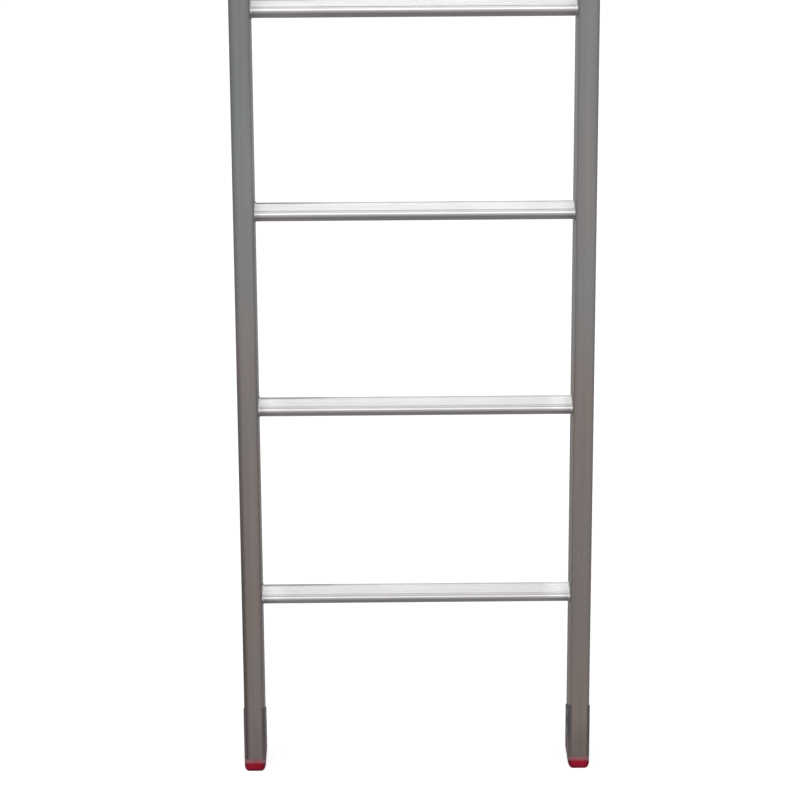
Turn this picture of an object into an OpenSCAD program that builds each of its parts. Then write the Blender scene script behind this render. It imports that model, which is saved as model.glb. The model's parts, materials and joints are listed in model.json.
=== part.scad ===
// Two-section push-up extension ladder with box stiles, D rungs and swinging rung hooks.
// +Z is up and the climber stands on the -Y side. The origin lies on the floor, midway between
// the feet. It is drawn with the fly section raised and its hooks hanging free.
// Left is -X and right is +X.

/* [Base section] */
// Width across the outside of the base section
base_width = 440; // [400:1:500]
// Depth of a base stile, front to back
base_stile_d = 65; // [60:1:78]
// Number of rungs in the base section
base_rungs = 8; // [7:1:9]
// Height of the first tread above the floor
first_rung = 235; // [215:1:270]
// Stile above the top rung of the base
base_above = 125; // [110:1:160]

/* [Fly section] */
// Depth of a fly stile, front to back
fly_stile_d = 60; // [56:1:72]
// Number of rungs in the fly section
fly_rungs = 7; // [6:1:8]
// Stile above the top rung of the fly
fly_above = 125; // [60:1:200]
// Stile below the hook pivot
fly_tail = 30; // [28:1:40]
// Gap between the fly and the base stiles
section_gap = 3; // [2.8:0.1:5]
// Rungs that the fly is raised by
raised_rungs = 4; // [3:1:4]
// Extra lift above the locking height, which lets the hooks swing
hook_lift = 40; // [30:1:60]

/* [Stile extrusion] */
// Face width of a stile
stile_w = 25; // [23:0.5:30]
// Wall of a stile
stile_wall = 1.8; // [1.4:0.1:2.4]
// Outer corner radius of a stile
stile_r = 3; // [2.6:0.1:4]

/* [Rungs] */
// Distance from tread to tread
rung_pitch = 250; // [230:1:300]
// Depth of a rung, nose to back
rung_w = 29; // [26:0.5:29]
// Height of a rung, tread to belly
rung_h = 17; // [17:0.5:20]
// Wall of a rung
rung_wall = 1.8; // [1.5:0.1:2.2]
// Tread tilt, level when the ladder leans at 75 degrees
tread_tilt = 15; // [10:1:20]
// Corner radius of the tread's nose and back
tread_r = 2; // [1.5:0.1:3]
// Fine grooves between the nose groove and the back groove
rib_count = 4; // [2:1:5]
// Width of a fine groove
rib_w = 0.9; // [0.6:0.1:1.2]
// Depth of a fine groove
rib_depth = 0.4; // [0.2:0.1:0.6]
// Width of the nose and the back groove
edge_groove_w = 1.6; // [1:0.1:2]
// Depth of the nose and the back groove
edge_groove_depth = 0.8; // [0.4:0.1:1]
// Nose to the middle of the nose groove
nose_land = 5.4; // [4:0.1:6]
// Back edge to the middle of the back groove
back_land = 3.4; // [3:0.1:5]
// Thickness of the bead swaged against the inside of a stile
bead_t = 1.5; // [1:0.1:2]
// How far the bead stands out round the rung
bead_out = 1.5; // [1:0.1:2.5]
// Thickness of the flared rim outside a stile
flare_t = 0.8; // [0.5:0.1:1]
// How far the flared rim stands out round the rung
flare_out = 1.6; // [1:0.1:2.5]
// Clearance round a rung in its stile
swage_clear = 0.05; // [0.02:0.01:0.1]

/* [Feet and caps] */
// Height of the red foot below the stile
foot_h = 16; // [12:1:25]
// Radius of the foot's lower side edges
foot_round = 6.5; // [3:0.5:7]
// How far caps and feet stand proud of the stile
cap_proud = 0.7; // [0.4:0.1:1.2]
// Length of a plug inside a stile
plug_h = 42; // [30:1:60]
// Wall of a plug
plug_wall = 2.5; // [2:0.1:3]
// Clearance round a plug
plug_clear = 0.1; // [0.05:0.05:0.3]
// Width of a groove in the sole
sole_groove_w = 4; // [3:0.5:6]
// Depth of a groove in the sole
sole_groove_depth = 2; // [1:0.5:4]
// Height of a side cheek above the foot, along the stile's front
cheek_h = 71; // [60:1:90]
// Thickness of a side cheek
cheek_t = 1; // [0.8:0.1:1.5]
// How far a cheek wraps on to the stile's front and back
cheek_lip = 2; // [1.5:0.1:6]
// Angle at which a cheek's top edge falls to the back
cheek_rake = 22; // [0:1:30]
// Width of a cheek's tongue over the side of the foot
tongue_w = 56; // [40:1:58]
// Floor to the bottom of that tongue
tongue_z = 4.5; // [4:0.5:6]
// Thickness of the top and bottom caps
cap_h = 6; // [4:0.5:10]

/* [Guides] */
// Height of a guide
guide_h = 60; // [50:1:80]
// Top of the base stile to the top of its guide
guide_drop = 15; // [10:1:30]
// Thickness of the top guide's bracket
bracket_t = 3; // [2.5:0.1:4]
// How far a guide's lip reaches over a stile
lip_reach = 14; // [10:0.5:18]
// Clearance between a guide's lip and the stile
lip_clear = 1; // [0.5:0.1:1.5]
// Thickness of a wear strip
strip_t = 2.5; // [2:0.1:3]
// Width of a wear strip
strip_w = 11; // [8:0.5:12]
// Running clearance of the sliding section
slide_clear = 0.5; // [0.3:0.1:0.8]
// Thickness of the bottom guide beside the base stile
shoe_t = 5.5; // [5:0.5:8]
// Thickness of the bottom guide's lip
shoe_lip_t = 4; // [3:0.5:6]
// Bottom of the fly stile to the bottom of its guide
shoe_rise = 20; // [15:1:40]

/* [Locks] */
// Hook pivot above the tread that it locks on
hook_rise = 85; // [80:1:95]
// Hook pivot in front of the back of the fly stile
pivot_inset = 12; // [11:0.5:14]
// Swing from hanging to seated
hook_swing = 29; // [28:0.5:30]
// Thickness of a hook
hook_t = 8; // [6:0.5:9]
// Width of a hook's arm
arm_w = 16; // [14:0.5:18]
// Outer radius of a hook's eye
eye_r = 10; // [8.5:0.5:11]
// Depth of a hook's prongs below the tread
prong_h = 7; // [5:0.5:9]
// Width of a prong at its tip
prong_w = 4.5; // [3.5:0.5:6]
// Metal above the hook's seat
seat_t = 9; // [7:0.5:12]
// Clearance between the seat and the tread when locked
seat_clear = 0.4; // [0.3:0.1:0.8]
// Radius of a hook pin
pin_r = 4; // [3.5:0.1:5]
// Running clearance of a hook pin
pin_clear = 0.05; // [0.02:0.01:0.1]
// Thickness of a lock body's back plate
lock_plate_t = 4; // [3:0.5:5]
// Thickness of a lock body's front cheek
lock_cheek_t = 3; // [2.5:0.5:4]
// Clearance on each side of a hook
hook_side_clear = 0.5; // [0.3:0.1:0.8]

/* [Rivets and stops] */
// Radius of a rivet's shank
rivet_r = 2.4; // [2:0.1:3]
// Radius of a rivet's head
rivet_head_r = 4.5; // [4:0.1:5]
// Height of a rivet's head
rivet_head_h = 1.4; // [1:0.1:1.6]
// Height of the low heads on the feet
low_head_h = 0.8; // [0.7:0.1:1.4]
// Radius of the dimple that the pulled mandrel leaves in a head
dimple_r = 1.3; // [0.8:0.1:1.6]
// Depth of that dimple
dimple_depth = 0.4; // [0.2:0.1:0.5]
// Width of a travel stop
stop_w = 12; // [10:0.5:13]
// Height of a travel stop
stop_h = 34; // [30:1:44]
// Thickness of a travel stop
stop_t = 7; // [5:0.5:8]
// Clearance left under the guide at full height
stop_clear = 0.3; // [0.2:0.1:0.6]

/* [Hidden] */
$fn = 48;
SIDES = ["left", "right"];
CHEEKS = ["outer", "inner"];

over = 1;               // how far a cut runs past the face that it opens
rivet_clear = 0.05;     // clearance round a rivet's shank
rivet_tail_h = 2;       // length of a rivet's upset tail
rivet_tail_out = 1;     // how far the tail stands out round the shank
rivet_edge = 12;        // rivet to the edge of the plate that it holds
pocket_depth = 2;       // pocket in each face of a hook's arm
pocket_edge = 4;        // metal left round that pocket
pin_head_t = 2;         // thickness of a hook pin's head
pin_head_out = 2.5;     // how far the pin's head stands out
lock_above = 40;        // lock body above the pivot
lock_r = 6;             // corner radius of a lock body
stop_lug_h = 8;         // height of the lug that a hanging hook rests on
sole_grooves = 5;       // grooves across a sole
land = 2;               // small radius on moulded corners

// Section widths: the fly runs inside the wear strips of the top guides.
base_half = base_width / 2;
fly_half = base_half - strip_t - slide_clear;
fly_width = 2 * fly_half;
base_inner = base_half - stile_w;
fly_inner = fly_half - stile_w;

// Depth, with the whole ladder centred on y = 0.
front_reach = section_gap + fly_stile_d + lip_clear + bracket_t;
back_reach = base_stile_d + lip_clear + shoe_lip_t;
base_y = (front_reach - back_reach) / 2;
base_back = base_y + base_stile_d;
base_mid = base_y + base_stile_d / 2;
fly_back = base_y - section_gap;
fly_y = fly_back - fly_stile_d;
fly_mid = fly_y + fly_stile_d / 2;

// Heights
base_tread = [for (k = [0 : base_rungs - 1]) first_rung + k * rung_pitch];
base_top = base_tread[base_rungs - 1] + base_above;
raise = raised_rungs * rung_pitch + hook_lift;
pivot_y = fly_back - pivot_inset;
lock_below = fly_tail - land;
pivot_z = first_rung + hook_rise + raise;
fly_bottom = pivot_z - fly_tail;
fly_tread = [for (k = [1 : fly_rungs]) first_rung + raise + k * rung_pitch];
fly_top = fly_tread[fly_rungs - 1] + fly_above;
guide_z = base_top - guide_drop - guide_h;
shoe_z = fly_bottom + shoe_rise;
stop_z = guide_z - stop_clear - stop_h;

// Lock: from the stile's inner face, the back plate, the hook's slot and the front cheek.
hook_slot = hook_t + 2 * hook_side_clear;
plate_x = fly_inner - lock_plate_t;
cheek_x = plate_x - hook_slot;
hook_x = plate_x - hook_slot / 2;
seat = [base_mid - pivot_y, -hook_rise];
seat_len = norm(seat);
seat_angle = atan2(seat[1], seat[0]);
jaw_w = rung_w + 2 * (prong_w + prong_h * tan(tread_tilt));

// Rivet places, as [y, z].
foot_rivets = [for (k = [1, 2]) [base_mid, foot_h + k * cheek_h / 3]];
guide_rivets = [for (z = [rivet_edge, guide_h - rivet_edge]) [base_mid, guide_z + z]];
shoe_rivets = [for (z = [rivet_edge, guide_h - rivet_edge]) [fly_mid, shoe_z + z]];
stop_rivets = [for (s = [1, 3]) [fly_y + land + stop_w / 2, stop_z + s * stop_h / 4]];
lock_rivets = [
    for (z = [-rivet_edge / 2, lock_above - rivet_edge])
        [fly_y + rivet_edge + rivet_head_r, pivot_z + z]
];

function sign_of(side) = side == "left" ? -1 : 1;

// ---------- shared shapes ----------

// Rectangle centred on the origin with round corners
module round_rect(w, d, r) {
    square([w - 2 * r, d], center = true);
    square([w, d - 2 * r], center = true);
    for (x = [-1, 1], y = [-1, 1])
        translate([x * (w / 2 - r), y * (d / 2 - r)])
            circle(r = r);
}

// Draws its child along X from x0 to x1, with the child's x along Y and its y along Z
module along_x(x0, x1) {
    translate([x0, 0, 0])
        rotate([90, 0, 90])
            linear_extrude(x1 - x0)
                children();
}

// D outline of a rung, tread centre at the origin, grown or shrunk all round
module rung_outline(grow = 0) {
    half = rung_w / 2 + grow;
    r = tread_r + grow;
    shoulder = rung_h - rung_w / 2;
    corner = max(r, 0.3);
    rotate(tread_tilt) {
        intersection() {
            translate([0, -shoulder])
                circle(r = half);
            translate([-half, -shoulder - half])
                square([2 * half, half]);
        }
        translate([-half, -shoulder])
            square([2 * half, shoulder + grow - corner]);
        translate([-half + corner, -shoulder])
            square([2 * (half - corner), shoulder + grow]);
        for (s = [-1, 1])
            translate([s * (half - corner), grow - corner])
                circle(r = corner);
    }
}

// Grooves along the tread: one behind the nose, one before the back edge, fine ones between
module tread_grooves() {
    front = -rung_w / 2 + nose_land;
    back = rung_w / 2 - back_land;
    step = (back - front) / (rib_count + 1);
    rotate(tread_tilt) {
        for (u = [front, back])
            translate([u - edge_groove_w / 2, -edge_groove_depth])
                square([edge_groove_w, edge_groove_depth + over]);
        for (i = [1 : rib_count])
            translate([front + i * step - rib_w / 2, -rib_depth])
                square([rib_w, rib_depth + over]);
    }
}

// Hollow rung with its swaged beads and flared rims, for a section of the given half width
module rung(half, y, z) {
    inner = half - stile_w;
    outer = half + flare_t;
    color([0.86, 0.87, 0.88])
        translate([0, y, z])
            difference() {
                union() {
                    along_x(-outer, outer) rung_outline();
                    for (s = [-1, 1]) {
                        bead = [s * (inner - bead_t), s * inner];
                        flare = [s * half, s * outer];
                        along_x(min(bead), max(bead)) rung_outline(bead_out);
                        along_x(min(flare), max(flare)) rung_outline(flare_out);
                    }
                }
                along_x(-outer - over, outer + over) rung_outline(-rung_wall);
                along_x(-inner + bead_t, inner - bead_t) tread_grooves();
            }
}

// Places its child on a face at the side's x, with the child's +Z pointing out of the ladder
module outward(side, x, place) {
    translate([sign_of(side) * x, place[0], place[1]])
        rotate([0, 90 * sign_of(side), 0])
            children();
}

// The same, with the child's +Z pointing to the middle of the ladder
module inward(side, x, place) {
    translate([sign_of(side) * x, place[0], place[1]])
        rotate([0, -90 * sign_of(side), 0])
            children();
}

// Blind rivet: domed and dimpled head on z = 0, shank through the grip, tail upset behind it
module rivet(grip, head_h = rivet_head_h) {
    dome_r = (rivet_head_r * rivet_head_r + head_h * head_h) / (2 * head_h);
    color([0.75, 0.76, 0.78]) {
        difference() {
            intersection() {
                translate([0, 0, head_h - dome_r])
                    sphere(r = dome_r);
                cylinder(r = rivet_head_r, h = head_h);
            }
            translate([0, 0, head_h - dimple_depth])
                cylinder(r = dimple_r, h = dimple_depth + over);
        }
        translate([0, 0, -grip])
            cylinder(r = rivet_r, h = grip);
        translate([0, 0, -grip - rivet_tail_h])
            cylinder(r = rivet_r + rivet_tail_out, h = rivet_tail_h);
    }
}

// Hole for that rivet
module rivet_hole(grip) {
    translate([0, 0, -grip - over / 2])
        cylinder(r = rivet_r + rivet_clear, h = grip + over);
}

// Holes across a plug that clear the tails of rivets at the given places
module tail_room(side, half, places) {
    for (p = places)
        outward(side, half, p)
            translate([0, 0, -stile_w - over])
                cylinder(r = rivet_r + rivet_tail_out + over / 2, h = stile_w + 2 * over);
}

// Box extrusion of a stile with holes for its rungs
module stile(side, half, y, d, z0, z1, treads) {
    difference() {
        translate([sign_of(side) * (half - stile_w / 2), y + d / 2, z0])
            linear_extrude(z1 - z0)
                difference() {
                    round_rect(stile_w, d, stile_r);
                    round_rect(stile_w - 2 * stile_wall, d - 2 * stile_wall, stile_r - stile_wall);
                }
        for (z = treads)
            translate([0, y + d / 2, z])
                along_x(-half - over, half + over) rung_outline(swage_clear);
    }
}

// Hollow plug that fills a stile end, standing on z = 0
module plug(d, h) {
    w = stile_w - 2 * (stile_wall + plug_clear);
    depth = d - 2 * (stile_wall + plug_clear);
    linear_extrude(h)
        difference() {
            round_rect(w, depth, land);
            round_rect(w - 2 * plug_wall, depth - 2 * plug_wall, land / 2);
        }
}

// Flat cap with a plug below it, for the top of a stile whose top end is at z = 0
module end_cap(d) {
    translate([0, 0, -plug_h])
        plug(d, plug_h);
    intersection() {
        linear_extrude(cap_h)
            round_rect(stile_w + 2 * cap_proud, d + 2 * cap_proud, stile_r + cap_proud);
        translate([0, d / 2 + over, 0])
            rotate([90, 0, 0])
                linear_extrude(d + 2 * over)
                    translate([0, (cap_h - stile_r) / 2])
                        round_rect(stile_w + 2 * cap_proud, cap_h + stile_r, stile_r);
    }
}

// ---------- base section ----------

module base_stile(side) {
    color([0.60, 0.60, 0.60])
        difference() {
            stile(side, base_half, base_y, base_stile_d, foot_h, base_top, base_tread);
            for (p = foot_rivets) {
                outward(side, base_half, p) rivet_hole(stile_wall);
                inward(side, base_inner, p) rivet_hole(stile_wall);
            }
            for (p = guide_rivets)
                outward(side, base_half, p) rivet_hole(stile_wall);
        }
}

module foot(side) {
    w = stile_w + 2 * cap_proud;
    d = base_stile_d + 2 * cap_proud;
    pitch = d / (sole_grooves + 1);
    color([0.62, 0.10, 0.18])
        difference() {
            translate([sign_of(side) * (base_half - stile_w / 2), base_mid, 0]) {
                intersection() {
                    linear_extrude(foot_h)
                        round_rect(w, d, stile_r + cap_proud);
                    translate([0, d / 2, 0])
                        rotate([90, 0, 0])
                            linear_extrude(d)
                                translate([0, foot_h])
                                    round_rect(w, 2 * foot_h, foot_round);
                }
                translate([0, 0, foot_h])
                    plug(base_stile_d, plug_h + rivet_edge * 2);
            }
            translate([sign_of(side) * (base_half - stile_w / 2), base_mid, 0])
                for (i = [1 : sole_grooves])
                    translate([-w, -d / 2 + i * pitch - sole_groove_w / 2, -over])
                        cube([2 * w, sole_groove_w, sole_groove_depth + over]);
            tail_room(side, base_half, foot_rivets);
            translate([sign_of(side) * (base_half - stile_w / 2), base_mid, 0])
                for (turn = [-1, 1])
                    translate([turn * stile_w, 0, tongue_z + foot_h / 2])
                        cube([stile_w, tongue_w, foot_h], center = true);
        }
}

// Shell wrapped round a side of the stile, with a tongue down the side of the foot
module foot_cheek(side, face) {
    turn = face == "outer" ? sign_of(side) : -sign_of(side);
    x0 = stile_w / 2 + cheek_t / 2;
    front = [turn * x0, -base_stile_d / 2, foot_h + cheek_h];
    place = face == "outer" ? base_half + cheek_t : base_inner - cheek_t;
    color([0.30, 0.28, 0.28])
        difference() {
            translate([sign_of(side) * (base_half - stile_w / 2), base_mid, 0]) {
                difference() {
                    translate([0, 0, foot_h])
                        linear_extrude(cheek_h)
                            cheek_ring(turn);
                    translate(front)
                        rotate([-cheek_rake, 0, 0])
                            translate([-stile_w, -cheek_h, 0])
                                cube([2 * stile_w, 3 * cheek_h, cheek_h]);
                }
                translate([turn * x0, 0, (tongue_z + foot_h + cheek_lip) / 2])
                    cube([cheek_t, tongue_w, foot_h + cheek_lip - tongue_z], center = true);
            }
            for (p = foot_rivets)
                if (face == "outer")
                    outward(side, place, p) rivet_hole(cheek_t);
                else
                    inward(side, place, p) rivet_hole(cheek_t);
        }
}

// That shell seen from above, on the side that turn points to
module cheek_ring(turn) {
    difference() {
        round_rect(stile_w + 2 * cheek_t, base_stile_d + 2 * cheek_t, stile_r + cheek_t);
        round_rect(stile_w, base_stile_d, stile_r);
        translate([-turn * cheek_lip, 0])
            square([stile_w, 2 * base_stile_d], center = true);
    }
}

module foot_rivet_set() {
    for (side = SIDES, p = foot_rivets) {
        outward(side, base_half + cheek_t, p) rivet(cheek_t + stile_wall, low_head_h);
        inward(side, base_inner - cheek_t, p) rivet(cheek_t + stile_wall, low_head_h);
    }
}

module base_top_cap(side) {
    color([0.16, 0.16, 0.17])
        difference() {
            translate([sign_of(side) * (base_half - stile_w / 2), base_mid, base_top])
                end_cap(base_stile_d);
            tail_room(side, base_half, guide_rivets);
        }
}

// Bent bracket on the outside of the base stile, lipped round the front of the fly stile
module top_guide(side) {
    lip_y = fly_y - lip_clear - bracket_t;
    outer = base_half + bracket_t;
    color([0.72, 0.73, 0.74])
        difference() {
            scale([sign_of(side), 1, 1])
                translate([0, 0, guide_z])
                    linear_extrude(guide_h) {
                        translate([base_half, lip_y + bracket_t])
                            square([bracket_t, base_back - land - lip_y - bracket_t]);
                        translate([fly_half - lip_reach, lip_y])
                            square([base_half - fly_half + lip_reach, bracket_t]);
                        intersection() {
                            translate([base_half, lip_y + bracket_t])
                                circle(r = bracket_t);
                            translate([base_half, lip_y])
                                square([outer - base_half, bracket_t]);
                        }
                    }
            for (p = guide_rivets)
                outward(side, outer, p) rivet_hole(bracket_t);
        }
}

// Wear strips: two beside the fly stile, one between the stiles
module top_guide_strips(side) {
    color([0.90, 0.90, 0.86])
        scale([sign_of(side), 1, 1])
            translate([0, 0, guide_z]) {
                for (y = [fly_y + land, fly_back - land - strip_w])
                    translate([base_half - strip_t, y, 0])
                        cube([strip_t, strip_w, guide_h]);
                translate([base_inner + stile_r, base_y - strip_t, 0])
                    cube([stile_w - 2 * stile_r, strip_t, guide_h]);
            }
}

module top_guide_rivet_set() {
    for (side = SIDES, p = guide_rivets)
        outward(side, base_half + bracket_t, p) rivet(bracket_t + stile_wall);
}

// ---------- fly section ----------

module fly_stile(side) {
    color([0.62, 0.62, 0.63])
        difference() {
            stile(side, fly_half, fly_y, fly_stile_d, fly_bottom, fly_top, fly_tread);
            for (p = concat(shoe_rivets, stop_rivets))
                outward(side, fly_half, p) rivet_hole(stile_wall);
            for (p = lock_rivets)
                inward(side, fly_inner, p) rivet_hole(stile_wall);
        }
}

module fly_top_cap(side) {
    color([0.16, 0.16, 0.17])
        translate([sign_of(side) * (fly_half - stile_w / 2), fly_mid, fly_top])
            end_cap(fly_stile_d);
}

module fly_bottom_cap(side) {
    color([0.16, 0.16, 0.17])
        difference() {
            translate([sign_of(side) * (fly_half - stile_w / 2), fly_mid, fly_bottom])
                rotate([180, 0, 0])
                    end_cap(fly_stile_d);
            tail_room(side, fly_half, concat(shoe_rivets, lock_rivets));
        }
}

// Moulded shoe on the outside of the fly stile, lipped round the back of the base stile
module bottom_guide(side) {
    run = base_half + slide_clear;
    outer = run + shoe_t;
    lip_y = base_back + lip_clear;
    edge = strip_w + land;
    color([0.20, 0.20, 0.21])
        difference() {
            scale([sign_of(side), 1, 1])
                translate([0, 0, shoe_z])
                    linear_extrude(guide_h) {
                        translate([fly_half, fly_y + land])
                            square([outer - fly_half, fly_stile_d - land]);
                        translate([run, fly_back - over])
                            square([shoe_t, lip_y - fly_back + over]);
                        translate([fly_half - lip_reach, lip_y])
                            square([run - fly_half + lip_reach, shoe_lip_t]);
                        intersection() {
                            translate([run, lip_y])
                                square([shoe_t, shoe_lip_t]);
                            translate([outer - shoe_lip_t, lip_y])
                                circle(r = shoe_lip_t);
                        }
                        translate([run, lip_y])
                            square([shoe_t - shoe_lip_t, shoe_lip_t]);
                    }
            // channel that the base rungs' flared rims run through
            scale([sign_of(side), 1, 1])
                translate([run - over, base_y + edge, shoe_z - over])
                    cube([over + 2 * flare_t, base_stile_d - 2 * edge, guide_h + 2 * over]);
            for (p = shoe_rivets)
                outward(side, outer, p) rivet_hole(outer - fly_half);
        }
}

module bottom_guide_rivet_set() {
    grip = base_half + slide_clear + shoe_t - fly_half;
    for (side = SIDES, p = shoe_rivets)
        outward(side, fly_half + grip, p) rivet(grip + stile_wall);
}

// Block that meets the underside of the top guide at full height
module travel_stop(side) {
    color([0.20, 0.20, 0.21])
        difference() {
            scale([sign_of(side), 1, 1])
                translate([0, fly_y + land + stop_w / 2, stop_z + stop_h / 2])
                    along_x(fly_half, fly_half + stop_t) round_rect(stop_w, stop_h, land);
            for (p = stop_rivets)
                outward(side, fly_half + stop_t, p) rivet_hole(stop_t);
        }
}

module travel_stop_rivet_set() {
    for (side = SIDES, p = stop_rivets)
        outward(side, fly_half + stop_t, p) rivet(stop_t + stile_wall);
}

// Clevis on the inside of the fly stile: back plate, front cheek, web between and stop lug
module lock_body(side) {
    web_y = fly_y + land;
    arm_front = pivot_y - arm_w / 2 - hook_side_clear;
    plate_w = fly_back - land - web_y;
    plate_h = lock_above + lock_below;
    plate_mid = [web_y + plate_w / 2, (lock_above - lock_below) / 2];
    web_t = 4;
    boss_r = eye_r + over;
    color([0.66, 0.67, 0.68])
        difference() {
            scale([sign_of(side), 1, 1])
                translate([0, 0, pivot_z]) {
                    along_x(plate_x, fly_inner)
                        translate(plate_mid) round_rect(plate_w, plate_h, lock_r);
                    along_x(cheek_x - lock_cheek_t, cheek_x) {
                        translate([pivot_y, 0]) circle(r = boss_r);
                        translate([web_y, -boss_r]) square([pivot_y - web_y, 2 * boss_r]);
                        translate([web_y, -lock_below + lock_r])
                            square([arm_front - web_y - boss_r, lock_below]);
                    }
                    along_x(cheek_x - lock_cheek_t, fly_inner) {
                        translate([web_y, -lock_below + lock_r])
                            square([web_t, lock_below - lock_r + boss_r]);
                    }
                    along_x(cheek_x - over, plate_x + over)
                        translate([web_y, -lock_below + lock_r])
                            square([arm_front - web_y, stop_lug_h]);
                    along_x(cheek_x - lock_cheek_t, cheek_x)
                        translate([web_y, -lock_below + lock_r])
                            square([arm_front - web_y, stop_lug_h]);
                }
            translate([sign_of(side) * hook_x, pivot_y, pivot_z])
                rotate([0, 90, 0])
                    cylinder(r = pin_r + pin_clear, h = 4 * hook_slot, center = true);
            for (p = lock_rivets)
                inward(side, plate_x, p) rivet_hole(lock_plate_t);
        }
}

module lock_rivet_set() {
    for (side = SIDES, p = lock_rivets)
        inward(side, plate_x, p) rivet(lock_plate_t + stile_wall);
}

module lock_pin(side) {
    tip = fly_inner - pin_clear;
    face = cheek_x - lock_cheek_t;
    color([0.78, 0.79, 0.80])
        scale([sign_of(side), 1, 1])
            translate([0, pivot_y, pivot_z])
                rotate([0, 90, 0]) {
                    translate([0, 0, face])
                        cylinder(r = pin_r, h = tip - face);
                    translate([0, 0, face - pin_head_t])
                        cylinder(r = pin_r + pin_head_out, h = pin_head_t);
                }
}

// Side view of a hook seated on a tread, with its pivot at the origin
module hook_outline() {
    difference() {
        union() {
            circle(r = eye_r);
            rotate(seat_angle)
                translate([0, -arm_w / 2])
                    square([seat_len - seat_t / 2, arm_w]);
            translate(seat)
                rotate(tread_tilt)
                    translate([0, (seat_t - prong_h) / 2])
                        round_rect(jaw_w, seat_t + prong_h, land);
        }
        translate(seat)
            rotate(tread_tilt)
                polygon([
                    [-rung_w / 2 - seat_clear, seat_clear],
                    [rung_w / 2 + seat_clear, seat_clear],
                    [jaw_w / 2 - prong_w, -prong_h - over],
                    [-jaw_w / 2 + prong_w, -prong_h - over],
                ]);
    }
}

// Pocket that lightens each face of a hook's arm
module arm_pocket() {
    r = arm_w / 2 - pocket_edge;
    start = eye_r + r + land;
    end = seat_len - seat_t - r - land;
    rotate(seat_angle) {
        translate([start, -r])
            square([end - start, 2 * r]);
        for (u = [start, end])
            translate([u, 0])
                circle(r = r);
    }
}

module lock_hook(side) {
    color([0.55, 0.57, 0.60])
        scale([sign_of(side), 1, 1])
            translate([hook_x, pivot_y, pivot_z])
                rotate([-hook_swing, 0, 0])
                    difference() {
                        along_x(-hook_t / 2, hook_t / 2) hook_outline();
                        along_x(-hook_t / 2 - over, -hook_t / 2 + pocket_depth) arm_pocket();
                        along_x(hook_t / 2 - pocket_depth, hook_t / 2 + over) arm_pocket();
                        rotate([0, 90, 0])
                            cylinder(r = pin_r + pin_clear, h = 2 * hook_t, center = true);
                    }
}

// ---------- the ladder ----------

for (s = SIDES) {
    base_stile(s);
    foot(s);
    for (c = CHEEKS)
        foot_cheek(s, c);
    base_top_cap(s);
    top_guide(s);
    top_guide_strips(s);
    fly_stile(s);
    fly_top_cap(s);
    fly_bottom_cap(s);
    bottom_guide(s);
    travel_stop(s);
    lock_body(s);
    lock_pin(s);
    lock_hook(s);
}
for (k = [1 : base_rungs])
    rung(base_half, base_mid, base_tread[k - 1]);
for (k = [1 : fly_rungs])
    rung(fly_half, fly_mid, fly_tread[k - 1]);
foot_rivet_set();  // foot_rivets
top_guide_rivet_set();  // top_guide_rivets
bottom_guide_rivet_set();  // bottom_guide_rivets
travel_stop_rivet_set();  // travel_stop_rivets
lock_rivet_set();  // lock_rivets
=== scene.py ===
"""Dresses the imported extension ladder: camera, light, floor and materials."""

import json
import math

import bpy
from mathutils import Matrix, Vector


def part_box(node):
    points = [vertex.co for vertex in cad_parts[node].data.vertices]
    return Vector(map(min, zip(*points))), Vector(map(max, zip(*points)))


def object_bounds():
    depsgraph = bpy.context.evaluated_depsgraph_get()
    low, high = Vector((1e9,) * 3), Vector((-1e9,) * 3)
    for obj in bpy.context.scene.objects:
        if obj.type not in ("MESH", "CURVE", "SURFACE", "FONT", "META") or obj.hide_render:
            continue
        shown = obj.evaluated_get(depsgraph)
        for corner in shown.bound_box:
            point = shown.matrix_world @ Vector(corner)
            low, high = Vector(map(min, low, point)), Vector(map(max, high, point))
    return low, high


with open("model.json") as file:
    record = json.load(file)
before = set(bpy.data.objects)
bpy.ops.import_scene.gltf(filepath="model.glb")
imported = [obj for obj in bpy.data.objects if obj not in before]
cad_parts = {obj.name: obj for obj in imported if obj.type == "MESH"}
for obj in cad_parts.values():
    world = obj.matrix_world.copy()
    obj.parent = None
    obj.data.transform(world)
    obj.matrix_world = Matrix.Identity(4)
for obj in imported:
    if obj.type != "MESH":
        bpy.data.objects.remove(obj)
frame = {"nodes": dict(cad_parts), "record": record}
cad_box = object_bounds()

NODES = frame["nodes"]
TREAD_TILT = math.radians(15)
NOSE_GROOVE, BACK_GROOVE = -0.0091, 0.0111      # from the middle of a tread, along it
RUNG_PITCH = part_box("base_rung_2")[0].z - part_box("base_rung_1")[0].z
FOOT_MIDDLE = (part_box("foot_right")[0].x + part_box("foot_right")[1].x) / 2
STILE_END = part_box("base_stile_left")[0].z
STILE_ROUNDING = 0.006


# ---------------------------------------------------------------- camera

LENS_MM = 133.87
CAMERA_SIDE = -0.051        # left of the ladder's middle
CAMERA_BACK = 3.487         # in front of the base section's front face
CAMERA_HEIGHT = 1.625
YAW, PITCH, ROLL = (math.radians(a) for a in (0.521, 17.908, 0.31))


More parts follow.
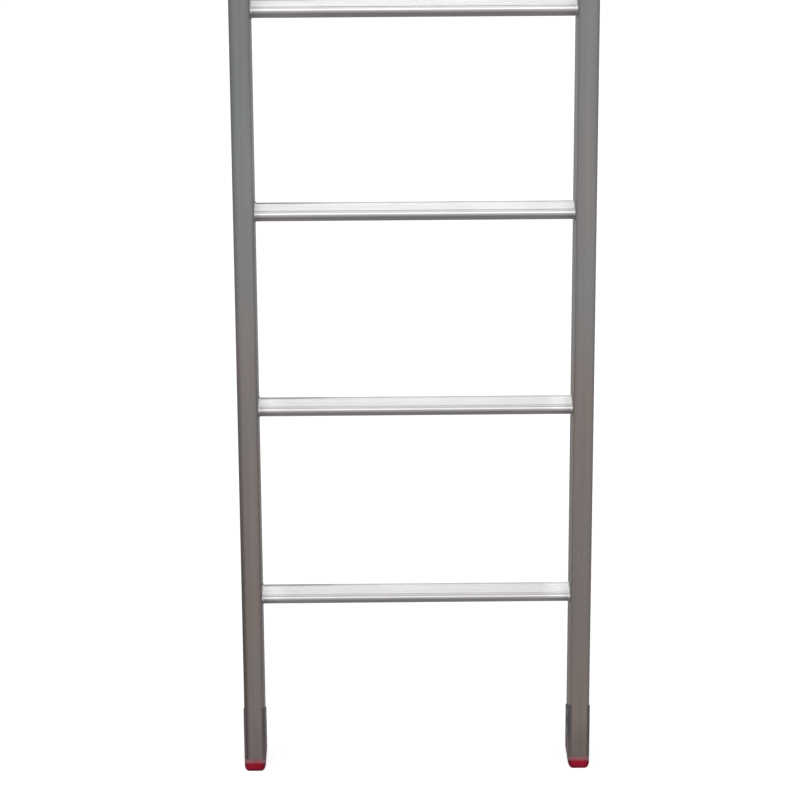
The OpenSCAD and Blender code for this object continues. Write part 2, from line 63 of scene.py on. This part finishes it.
def add_camera():
    """The camera stands 3.5 m in front of the ladder and looks down at its feet."""
    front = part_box("base_stile_left")[0].y
    ahead = Vector((math.sin(YAW) * math.cos(PITCH), math.cos(YAW) * math.cos(PITCH),
                    -math.sin(PITCH)))
    right = Vector((math.cos(YAW), -math.sin(YAW), 0))
    down = ahead.cross(right)
    right, down = (math.cos(ROLL) * right + math.sin(ROLL) * down,
                   math.cos(ROLL) * down - math.sin(ROLL) * right)
    turn = Matrix((right, -down, -ahead)).transposed().to_4x4()
    place = Matrix.Translation((CAMERA_SIDE, front - CAMERA_BACK, CAMERA_HEIGHT))
    camera = bpy.data.objects.new("camera", bpy.data.cameras.new("camera"))
    camera.data.lens = LENS_MM
    camera.data.sensor_width = 36
    camera.data.clip_start, camera.data.clip_end = 0.05, 200
    camera.matrix_world = place @ turn
    bpy.context.scene.collection.objects.link(camera)
    bpy.context.scene.camera = camera


# ---------------------------------------------------------------- shader nodes

class Graph:
    """A material's node tree, with short calls for the nodes used here."""

    def __init__(self, name):
        self.material = bpy.data.materials.new(name)
        self.material.use_nodes = True
        self.tree = self.material.node_tree
        self.shader = self.tree.nodes["Principled BSDF"]

    def node(self, kind, settings=None, **sockets):
        """A node of a kind. Its sockets go by their names, with spaces as underscores, or by
        their numbers, as i0, i1 and so on."""
        made = self.tree.nodes.new("ShaderNode" + kind)
        for key, value in (settings or {}).items():
            setattr(made, key, value)
        for key, value in sockets.items():
            by_number = key[0] == "i" and key[1:].isdigit()
            socket = made.inputs[int(key[1:]) if by_number else key.replace("_", " ")]
            self.feed(socket, value)
        return made

    def feed(self, socket, value):
        """Links a node's output to a socket, or sets the socket's own value."""
        if isinstance(value, bpy.types.NodeSocket):
            self.tree.links.new(value, socket)
        else:
            socket.default_value = value

    def split(self, vector):
        """The x, y and z sockets of a vector."""
        return self.node("SeparateXYZ", Vector=vector).outputs

    def place(self):
        """The piece's own coordinates in metres, as x, y and z sockets."""
        return self.split(self.node("TexCoord").outputs["Object"])

    def noise(self, size, scale=(1, 1, 1), detail=3.0, seed=0.0):
        """Noise from 0 to 1, with features about size metres across, divided by scale along
        each axis."""
        coordinates = self.node("TexCoord").outputs["Object"]
        scaled = self.node("Mapping", Vector=coordinates, Scale=scale).outputs[0]
        return self.node("TexNoise", {"noise_dimensions": "4D"}, Vector=scaled, W=seed,
                         Scale=1 / size, Detail=detail).outputs[0]

    def math(self, operation, a, b=0.0, c=0.0):
        """What a Math node makes of up to three numbers or sockets."""
        return self.node("Math", {"operation": operation}, i0=a, i1=b, i2=c).outputs[0]

    def both(self, first, *others):
        """Masks multiplied: 1 where each of them is 1."""
        for other in others:
            first = self.math("MULTIPLY", first, other)
        return first

    def spread(self, value, low, high, to_low=0.0, to_high=1.0):
        """Moves the range low..high of a value smoothly to another range."""
        return self.node("MapRange", {"interpolation_type": "SMOOTHSTEP"}, Value=value,
                         From_Min=low, From_Max=high, To_Min=to_low, To_Max=to_high).outputs[0]

    def mix(self, factor, a, b, blend="MIX"):
        """Colours a and b mixed."""
        return self.node("Mix", {"data_type": "RGBA", "blend_type": blend}, i0=factor,
                         i6=rgba(a), i7=rgba(b)).outputs[2]

    def shade(self, colour, by):
        """A colour multiplied by another."""
        return self.mix(1.0, colour, by, "MULTIPLY")

    def tint(self, mask, colour, by):
        """A colour, multiplied by another where the mask is 1."""
        return self.mix(mask, colour, self.shade(colour, by))

    def normal(self):
        """The surface's normal, as x, y and z sockets of the world."""
        return self.split(self.node("NewGeometry").outputs["Normal"])

    def rounded_normal(self, radius):
        """The normal with its edges rounded, as x, y and z sockets."""
        return self.split(self.node("Bevel", Radius=radius).outputs[0])

    def edges(self, radius):
        """1 along sharp edges and 0 away from them."""
        rounded = self.node("Bevel", Radius=radius).outputs[0]
        flat = self.node("NewGeometry").outputs["Normal"]
        along = self.node("VectorMath", {"operation": "DOT_PRODUCT"}, i0=rounded, i1=flat)
        return self.spread(along.outputs["Value"], 1.0, 0.86)

    def bump(self, height, distance, strength=1.0, radius=0.0):
        """Feeds the shader's normal with a height in units of distance metres, on edges rounded
        by a radius."""
        made = self.node("Bump", Strength=strength, Distance=distance, Height=height)
        if radius:
            self.feed(made.inputs["Normal"], self.node("Bevel", Radius=radius).outputs[0])
        self.feed(self.shader.inputs["Normal"], made.outputs[0])

    def finish(self, **sockets):
        """Sets the shader's sockets and returns the material."""
        for key, value in sockets.items():
            if key in ("Base_Color", "Specular_Tint"):
                value = rgba(value)
            self.feed(self.shader.inputs[key.replace("_", " ")], value)
        return self.material


def rgba(colour):
    """A colour of three numbers, or a grey of one, with alpha. Sockets are left alone."""
    if isinstance(colour, bpy.types.NodeSocket):
        return colour
    if isinstance(colour, float):
        colour = (colour,) * 3
    return (*colour, 1.0)


# ---------------------------------------------------------------- materials

# Where a finish, a painted light or a painted shade begins and where it is full, in metres.
# Heights above the floor:
STILES_NEAR_FLOOR = 0.9, 0.0                # stiles, darker and browner towards the floor
BROWNER = 0.62, 0.50            # stiles
SPLASHED = 0.075, 0.030         # ends of the stiles
SHEATH_SPLASHED = 0.055, 0.030
LEFT_LIT_ABOVE = 0.68, 0.80           # left stile, painted light on its inner face and inner corner
TOP_SHADE_FROM = 0.78, 0.92       # left stile, a painted shade near its top
TOP_SHADE_TO = 1.30, 1.10
RUNGS_LOW_TO_HIGH = 0.2, 1.0              # rungs: brighter treads, stronger groove shade and weaker nose shade upwards
TOPMOST = 1.05, 1.20            # rungs above the photograph's frame, duller again
SOLE_SHADED = 0.0055, 0.0       # red feet, painted shade towards the ground
# Distances from the ladder's middle, with those at its left below 0:
TREAD_ENDS_LIT = 0.155, 0.185        # ends of the treads, painted light against the stiles' shade
# painted light on the belly's ends, against the shade near the stiles
BELLY_END = 0.09, 0.185
BACK_EDGE_DARKER_LEFT = -0.070, -0.150      # back edges of the treads, darker towards the left end
OUTER_CORNER_SHADED = -0.2118, -0.2184      # outer front corner of the left stile, painted shade
LEFT, RIGHT = (0.01, -0.01), (-0.01, 0.01)
# Distance from the middle of a red foot, for the painted shade at its sides:
FOOT_SIDE = 0.0055, 0.0130
# Distances along a tread from its middle, from one of its outer grooves, and above it:
# painted shade over the nose's highlight
NOSE = NOSE_GROOVE - 0.001, NOSE_GROOVE - 0.003
BACK_EDGE = BACK_GROOVE - 0.003, BACK_GROOVE - 0.001
# grime and painted shade along the outer grooves
GROOVE_GRIME_AND_SHADE = 0.0020, 0.0005
# where the tread's painted light reaches down its sides
TREAD_SIDE = -0.0025, -0.0015

# Colour, size of the grain in metres, roughness, metallic and seed
METALS = {
    "bracket_aluminium": ((0.45, 0.45, 0.45), 0.002, 0.36, 0.8, 5),
    "cast_aluminium": ((0.38, 0.38, 0.39), 0.0012, 0.5, 0.8, 15),
    "steel": ((0.42, 0.42, 0.43), 0.001, 0.3, 1.0, 18),
    "rivet": ((0.6, 0.6, 0.61), 0.0008, 0.3, 1.0, 21),
    "dark_rivet": ((0.10, 0.09, 0.09), 0.0008, 0.5, 0.5, 24),
}


def stile_aluminium():
    """Mill-finish extrusion: dull grey, with die lines along it, painted shade along its corners,
    darker and browner towards the floor, and splashes near the floor. Its inner faces carry
    painted light and shade. The left stile has a painted highlight on its inner corner higher up,
    a darker, bluer painted shade near its top, and painted shade along its outer front corner."""
    g = Graph("stile_aluminium")
    x, _, z = g.place()
    left, right = g.spread(x, *LEFT), g.spread(x, *RIGHT)
    low, high = g.spread(z, *STILES_NEAR_FLOOR), g.spread(z, *LEFT_LIT_ABOVE)
    across, forward, _ = g.rounded_normal(STILE_ROUNDING)
    side = g.math("ABSOLUTE", across)
    outward = g.math("MULTIPLY", across, g.math("SIGN", x))

    blotch = g.noise(0.11, (1, 1, 0.5), detail=4, seed=1)
    lines = g.noise(0.006, (1, 1, 0.02), detail=4, seed=2)
    colour = g.mix(g.spread(blotch, 0.35, 0.65), (0.174, 0.183, 0.183), (0.187, 0.179, 0.176))
    colour = g.tint(g.spread(lines, 0.3, 0.7), colour, (1.16, 1.15, 1.14))

    # Painted shade along the rounded corners, and a painted highlight on the left stile's inner
    # corner higher up.
    corner = g.both(g.spread(side, 0.0, 0.4), g.spread(side, 0.995, 0.9))
    inner_corner_highlight = g.both(left, high, g.spread(across, 0.0, 0.3))
    colour = g.tint(corner, colour, g.mix(inner_corner_highlight, 0.88, 1.14))

    # Painted light and shade on the inner faces: the left one darker low down and lighter higher
    # up, the right one lighter higher up and darker towards the floor.
    left_inner_light_shade = g.mix(high, g.mix(low, 0.95, 0.72), (1.20, 1.20, 1.21))
    rub = g.mix(right, left_inner_light_shade, g.mix(low, 1.08, 0.86))
    colour = g.tint(g.spread(outward, -0.9, -0.995), colour, rub)

    # Painted shade along the left stile's outer front corner, darkest towards the floor.
    outer_corner_shade = g.both(g.spread(x, *OUTER_CORNER_SHADED), g.spread(forward, -0.02, -0.3))
    colour = g.tint(outer_corner_shade, colour, g.mix(low, (0.79, 0.79, 0.80), (0.40, 0.39, 0.39)))
    # Painted shade, darker and bluer, on the left stile near its top.
    top_patch_shade = g.both(g.spread(z, *TOP_SHADE_FROM), g.spread(z, *TOP_SHADE_TO), left)
    colour = g.tint(top_patch_shade, colour, (0.86, 0.90, 0.92))

    # Browner below half a metre, and darker and browner towards the floor.
    colour = g.tint(g.spread(z, *BROWNER), colour, (1.03, 0.925, 0.885))
    colour = g.tint(low, colour, (0.81, 0.765, 0.745))
    splash = g.mix(left, (0.81, 0.82, 0.81), (0.93, 0.89, 0.93))
    colour = g.tint(g.spread(z, *SPLASHED), colour, splash)

    die = g.noise(0.0009, (1, 1, 0.01), detail=2, seed=28)
    g.bump(g.math("ADD", lines, g.math("MULTIPLY", die, 0.35)), 0.0002, 0.4)
    return g.finish(Base_Color=colour, Metallic=0.6, Specular_Tint=0.4,
                    Roughness=g.spread(lines, 0.2, 0.8, 0.42, 0.56))


def rung_aluminium(name, tread_y, tread_z):
    """Extruded rung: the ribbed tread is painted light, as lit from above, brighter on higher
    rungs, and the belly is painted shade in dull grey; painted light brightens the tread's ends
    and the belly's ends against the stiles' shade. Grime and painted shade lie along its outer
    grooves, the back edge is darker towards the left end, and painted shade greys the nose's
    highlight.

    The tread's middle is at tread_y, and at tread_z for one rung of the section."""
    g = Graph(name)
    x, y, z = g.place()
    x_out = g.math("ABSOLUTE", x)
    high, topmost = g.spread(z, *RUNGS_LOW_TO_HIGH), g.spread(z, *TOPMOST)
    back = g.math("SUBTRACT", y, tread_y)
    up = g.math("WRAP", g.math("SUBTRACT", z, tread_z), RUNG_PITCH / 2, -RUNG_PITCH / 2)
    cos, sin = math.cos(TREAD_TILT), math.sin(TREAD_TILT)
    along = g.math("ADD", g.math("MULTIPLY", back, cos), g.math("MULTIPLY", up, sin))
    above = g.math("SUBTRACT", g.math("MULTIPLY", up, cos), g.math("MULTIPLY", back, sin))
    facing_up = g.normal()[2]
    lines = g.noise(0.004, (0.015, 1, 1), detail=4, seed=3)
    scuffs = g.noise(0.03, (0.6, 1.5, 1), detail=5, seed=4)
    scuffed = g.spread(scuffs, 0.35, 0.65)

    # The tread's colour is painted light, as lit from above; it is brighter on higher rungs.
    worn = g.mix(high, (0.81, 0.80, 0.80), (0.975, 0.975, 0.985))
    worn = g.mix(topmost, worn, (0.86, 0.86, 0.87))
    bright = g.mix(scuffed, g.shade(worn, 0.95), worn)
    # Painted light on the tread's ends, against the stiles' shade.
    lit_tread_top = g.mix(g.spread(x_out, *TREAD_ENDS_LIT), bright, g.mix(topmost, 0.99, 0.88))

    middle, half = (NOSE_GROOVE + BACK_GROOVE) / 2, (BACK_GROOVE - NOSE_GROOVE) / 2
    out = g.math("ABSOLUTE", g.math("SUBTRACT", along, middle))
    from_groove = g.math("ABSOLUTE", g.math("SUBTRACT", out, half))
    # Grime and painted shade along the outer grooves, stronger on higher rungs.
    groove_grime_and_shade = g.both(g.spread(from_groove, *GROOVE_GRIME_AND_SHADE), g.spread(scuffs, 0.3, 0.7, 1.0, 0.75))
    lit_tread_top = g.tint(groove_grime_and_shade, lit_tread_top, g.mix(high, 0.84, (0.62, 0.62, 0.63)))

    level = g.spread(facing_up, 0.1, 0.5)
    # Painted shade over the nose's highlight, stronger on the lower rungs.
    nose = g.both(g.spread(along, *NOSE), level)
    lit_tread_top = g.tint(nose, lit_tread_top, g.mix(high, (0.64, 0.63, 0.63), (0.80, 0.79, 0.79)))
    # The back edge darker towards the left end.
    behind = g.both(g.spread(along, *BACK_EDGE), level)
    left_end = g.both(g.spread(x, *BACK_EDGE_DARKER_LEFT), g.spread(scuffs, 0.3, 0.7, 1.0, 0.8))
    lit_tread_top = g.tint(g.both(behind, left_end), lit_tread_top, (0.46, 0.47, 0.46))

    # The belly's colour is painted shade.
    dull = g.mix(scuffed, (0.165, 0.148, 0.156), (0.185, 0.168, 0.175))
    # Painted light towards the belly's ends, against the shade near the stiles.
    belly = g.shade(dull, g.spread(x_out, *BELLY_END, 1.05, 1.28))
    # Painted light where the rung faces up, and painted shade below.
    lit_top_mask = g.math("MAXIMUM", g.spread(facing_up, -0.52, -0.08), g.spread(above, *TREAD_SIDE))
    colour = g.mix(lit_top_mask, belly, lit_tread_top)
    colour = g.tint(g.spread(lines, 0.3, 0.7), colour, 0.95)

    g.bump(lines, 0.0002, 0.3)
    return g.finish(Base_Color=colour, Metallic=0.6, Specular_Tint=0.6,
                    Roughness=g.spread(scuffs, 0.3, 0.7, 0.3, 0.44))


def worked_metal(name):
    """Pressed, cast or plated metal with a fine grain and edges rubbed bright."""
    colour, grain, roughness, metallic, seed = METALS[name]
    g = Graph(name)
    clouds = g.noise(0.04, detail=4, seed=seed)
    fine = g.noise(grain, detail=3, seed=seed + 1)
    dark, rubbed = [c * 0.86 for c in colour], [min(1, c * 1.5) for c in colour]
    body = g.mix(g.spread(clouds, 0.3, 0.7), dark, colour)
    worn = g.mix(g.edges(0.0012), body, rubbed)
    g.bump(fine, 0.0003, 0.4, radius=0.0004)
    return g.finish(Base_Color=worn, Metallic=metallic,
                    Roughness=g.spread(clouds, 0.3, 0.7, roughness + 0.08, roughness - 0.06))


def red_plastic():
    """Moulded foot polymer with a painted highlight along its top where it meets the stile,
    scuffed along its edges, and painted shade at its sides and towards the ground."""
    g = Graph("red_plastic")
    x, _, z = g.place()
    clouds = g.noise(0.02, detail=4, seed=7)
    fine = g.noise(0.0012, detail=2, seed=8)
    body = g.mix(g.spread(clouds, 0.35, 0.65), (0.215, 0.002, 0.013), (0.285, 0.004, 0.022))
    worn = g.mix(g.math("MULTIPLY", g.edges(0.001), 0.35), body, (0.30, 0.05, 0.07))
    # Painted shade at the foot's sides and towards the ground.
    across = g.math("ABSOLUTE", g.math("SUBTRACT", g.math("ABSOLUTE", x), FOOT_MIDDLE))
    foot_shade_mask = g.math("MAXIMUM", g.spread(across, *FOOT_SIDE), g.spread(z, *SOLE_SHADED))
    foot_shaded = g.tint(foot_shade_mask, worn, (0.42, 0.5, 0.8))
    # Painted highlight along the top of the foot, where it meets the stile.
    foot_top_highlight = g.both(g.spread(z, STILE_END * 0.54, STILE_END * 0.84),
                 g.spread(clouds, 0.3, 0.6, 0.6, 0.9))
    colour = g.mix(foot_top_highlight, foot_shaded, (0.24, 0.12, 0.13))
    g.bump(fine, 0.0002, 0.2, radius=0.0006)
    return g.finish(Base_Color=colour, Specular_IOR_Level=0.12,
                    Roughness=g.spread(clouds, 0.3, 0.7, 0.4, 0.55))


def dark_plastic():
    """Dark moulded polymer with a fine grain and grey scuffs."""
    g = Graph("dark_plastic")
    clouds = g.noise(0.03, detail=5, seed=9)
    fine = g.noise(0.0009, detail=2, seed=10)
    body = g.mix(g.spread(clouds, 0.35, 0.7), (0.032, 0.030, 0.029), (0.075, 0.062, 0.062))
    worn = g.mix(g.math("MULTIPLY", g.edges(0.001), 0.5), body, (0.14, 0.13, 0.13))
    g.bump(fine, 0.0002, 0.3, radius=0.0005)
    return g.finish(Base_Color=worn, Roughness=g.spread(clouds, 0.3, 0.7, 0.5, 0.65))


def foot_rubber():
    """Dark sheathing of the feet, with painted light on its front and right faces and splashes low
    down.
    """
    g = Graph("foot_rubber")
    clouds = g.noise(0.025, (1, 1, 0.6), detail=5, seed=26)
    fine = g.noise(0.0009, detail=2, seed=27)
    across, forward, _ = g.normal()
    body = g.mix(g.spread(clouds, 0.35, 0.7), (0.030, 0.029, 0.028), (0.048, 0.044, 0.043))
    # Painted light on the front and right faces.
    lit_face_colour = g.mix(g.spread(clouds, 0.3, 0.7), (0.075, 0.070, 0.068), (0.11, 0.10, 0.098))
    lit_faces = g.math("MAXIMUM", g.spread(forward, -0.3, -0.95), g.spread(across, 0.3, 0.95))
    colour = g.mix(lit_faces, body, lit_face_colour)
    splashed = g.mix(0.6, colour, (0.125, 0.085, 0.085))
    colour = g.mix(g.spread(g.place()[2], *SHEATH_SPLASHED), colour, splashed)
    colour = g.mix(g.math("MULTIPLY", g.edges(0.001), 0.4), colour, (0.13, 0.12, 0.12))
    g.bump(fine, 0.0002, 0.3, radius=0.0004)
    return g.finish(Base_Color=colour, Specular_IOR_Level=0.1,
                    Roughness=g.spread(clouds, 0.3, 0.7, 0.6, 0.75))


def nylon():
    """Natural nylon, slightly yellowed, with grey rub marks along the slide."""
    g = Graph("nylon")
    rub = g.noise(0.006, (1, 1, 0.05), detail=4, seed=11)
    clouds = g.noise(0.015, detail=3, seed=12)
    body = g.mix(g.spread(clouds, 0.3, 0.7), (0.66, 0.64, 0.57), (0.73, 0.72, 0.66))
    colour = g.mix(g.spread(rub, 0.5, 0.75), body, (0.42, 0.41, 0.40))
    g.bump(rub, 0.0002, 0.3)
    return g.finish(Base_Color=colour, Roughness=g.spread(clouds, 0.3, 0.7, 0.45, 0.6))


def tread_middle(rung):
    """The y and z of the middle of a rung's tread, from the mount on the top rung."""
    top = next(m["pos_m"] for m in frame["record"]["mounts"] if m["name"] == "top_rung")
    last = max((n for n in NODES if n.startswith("fly_rung")), key=lambda n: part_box(n)[1].z)
    low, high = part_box(rung)
    low_last, high_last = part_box(last)
    return top[1] + low.y - low_last.y, top[2] + high.z - high_last.z


def dress_nodes():
    """Gives every CAD node the material of its slot, and some nodes one of their own."""
    metals = {name: worked_metal(name) for name in METALS}
    by_slot = {
        **metals,
        "stile_aluminium": stile_aluminium(),
        "rung_aluminium": rung_aluminium("rung_aluminium", *tread_middle("base_rung_1")),
        "red_plastic": red_plastic(),
        "dark_plastic": dark_plastic(),
        "nylon": nylon(),
    }
    by_name = {
        "foot_cheek": foot_rubber(),
        "foot_rivets": metals["dark_rivet"],
        "fly_rung": rung_aluminium("fly_rung_aluminium", *tread_middle("fly_rung_1")),
    }
    for name, node in NODES.items():
        own = next((m for start, m in by_name.items() if name.startswith(start)), None)
        for place in node.material_slots:
            place.material = own or by_slot[place.material.name.split(".")[0]]


# ---------------------------------------------------------------- floor and light

WHITE = (1, 1, 1, 1)
FLOOR_HALF = 30.0
FLOOR_LIT = 0.5                         # the floor's grey where it lights the ladder
FLOOR_SHOWN, FLOOR_GLOW = 0.22, 0.84    # where it is seen: together white outside the shadow


def seen_as_white(tree, lit, shown):
    """Mixes two shaders: the camera, reflections and glass see the second, and all other light
    meets the first."""
    path = tree.nodes.new("ShaderNodeLightPath")
    most = path.outputs["Is Camera Ray"]
    for name in ("Is Glossy Ray", "Is Transmission Ray"):
        larger = tree.nodes.new("ShaderNodeMath")
        larger.operation = "MAXIMUM"
        tree.links.new(most, larger.inputs[0])
        tree.links.new(path.outputs[name], larger.inputs[1])
        most = larger.outputs[0]
    mixed = tree.nodes.new("ShaderNodeMixShader")
    tree.links.new(most, mixed.inputs[0])
    tree.links.new(lit, mixed.inputs[1])
    tree.links.new(shown, mixed.inputs[2])
    return mixed.outputs[0]


def add_world(strength):
    """A plain pale sky that lights the ladder from all round and shows white."""
    world = bpy.data.worlds.new("studio")
    bpy.context.scene.world = world
    world.use_nodes = True
    tree = world.node_tree
    lit, shown = tree.nodes["Background"], tree.nodes.new("ShaderNodeBackground")
    for background, level in ((lit, strength), (shown, 1.0)):
        background.inputs["Color"].default_value = WHITE
        background.inputs["Strength"].default_value = level
    tree.links.new(seen_as_white(tree, lit.outputs[0], shown.outputs[0]),
                   tree.nodes["World Output"].inputs[0])


def add_floor():
    """A large pale floor at the ladder's feet. It shows white and keeps a soft shadow."""
    g = Graph("floor")
    g.tree.nodes.remove(g.shader)
    lit = g.node("BsdfDiffuse", Color=rgba(FLOOR_LIT))
    grey = g.node("BsdfDiffuse", Color=rgba(FLOOR_SHOWN))
    glow = g.node("Emission", Color=WHITE, Strength=FLOOR_GLOW)
    shown = g.node("AddShader", i0=grey.outputs[0], i1=glow.outputs[0])
    g.feed(g.tree.nodes["Material Output"].inputs[0],
           seen_as_white(g.tree, lit.outputs[0], shown.outputs[0]))
    low, half = cad_box[0].z, FLOOR_HALF
    corners = [(-half, -half, low), (half, -half, low), (half, half, low), (-half, half, low)]
    mesh = bpy.data.meshes.new("floor")
    mesh.from_pydata(corners, [], [(0, 1, 2, 3)])
    mesh.materials.append(g.material)
    floor = bpy.data.objects.new("floor", mesh)
    bpy.context.scene.collection.objects.link(floor)


def add_sun(name, strength, azimuth, elevation, angle, glossy=True):
    """A soft lamp as wide as the angle, all in degrees. Azimuth 0 is in front and 90 at the
    right. A lamp that isn't glossy gives no highlights, which would clip the treads to white."""
    lamp = bpy.data.objects.new(name, bpy.data.lights.new(name, "SUN"))
    a, e = math.radians(azimuth), math.radians(elevation)
    towards = Vector((math.sin(a) * math.cos(e), -math.cos(a) * math.cos(e), math.sin(e)))
    lamp.rotation_mode = "QUATERNION"
    lamp.rotation_quaternion = towards.to_track_quat("Z", "Y")
    lamp.data.energy = strength
    lamp.data.angle = math.radians(angle)
    lamp.visible_glossy = glossy
    bpy.context.scene.collection.objects.link(lamp)


# ---------------------------------------------------------------- scene

add_camera()
dress_nodes()
add_floor()
add_world(strength=0.5)
add_sun("overhead", strength=1.80, azimuth=-5, elevation=66, angle=80, glossy=False)
add_sun("front", strength=1.08, azimuth=-20, elevation=15, angle=60)
add_sun("back", strength=0.3, azimuth=180, elevation=8, angle=30, glossy=False)
bpy.context.scene.view_settings.view_transform = "Standard"
